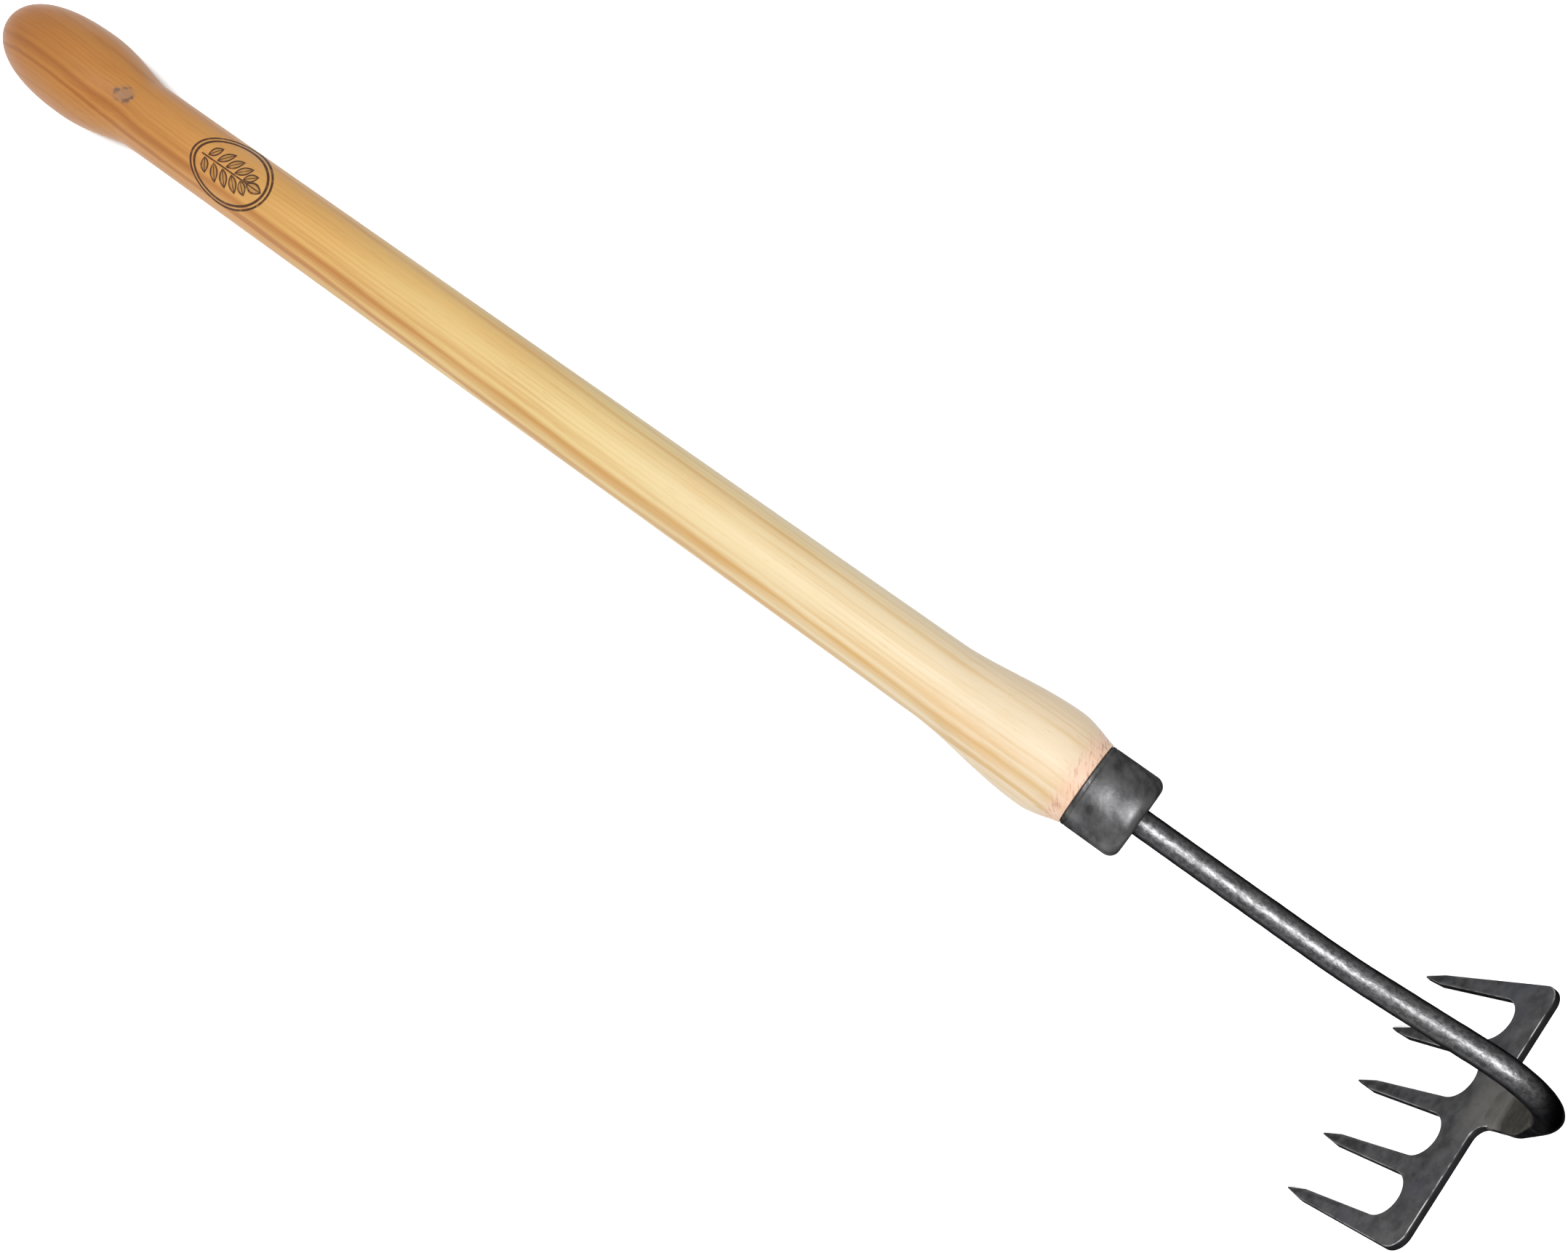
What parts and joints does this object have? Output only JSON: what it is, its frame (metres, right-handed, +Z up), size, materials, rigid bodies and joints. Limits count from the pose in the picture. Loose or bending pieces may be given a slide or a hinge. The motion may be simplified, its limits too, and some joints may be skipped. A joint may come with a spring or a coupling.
{
  "type": "hand rake",
  "caption": "Mid-length hand rake: a turned wooden handle with a knob grip, a steel ferrule and a swan-neck bar carrying a flat plate of pointed tines.",
  "frame": {"origin": "centre of the bounding box's bottom face; the knob and the tine tips stand on z = 0", "axes": "+X along the tool from the knob to the tine head, +Z up, tines pointing down; the tool is mirror-symmetric about y = 0"},
  "size_m": [0.7432, 0.1152, 0.152],
  "materials": {
    "handle_wood": "clear-lacquered turned ash",
    "ferrule_steel": "satin blackened steel",
    "neck_steel": "blackened hot-forged bar, faintly dimpled",
    "weld_steel": "dressed weld, blackened",
    "head_steel": "matt blackened plate"
  },
  "bodies": {
    "root": {"handle": "handle_wood", "ferrule": "ferrule_steel", "neck_rod": "neck_steel", "neck_weld": "weld_steel", "tine_head": "head_steel"}
  },
  "joints": []
}
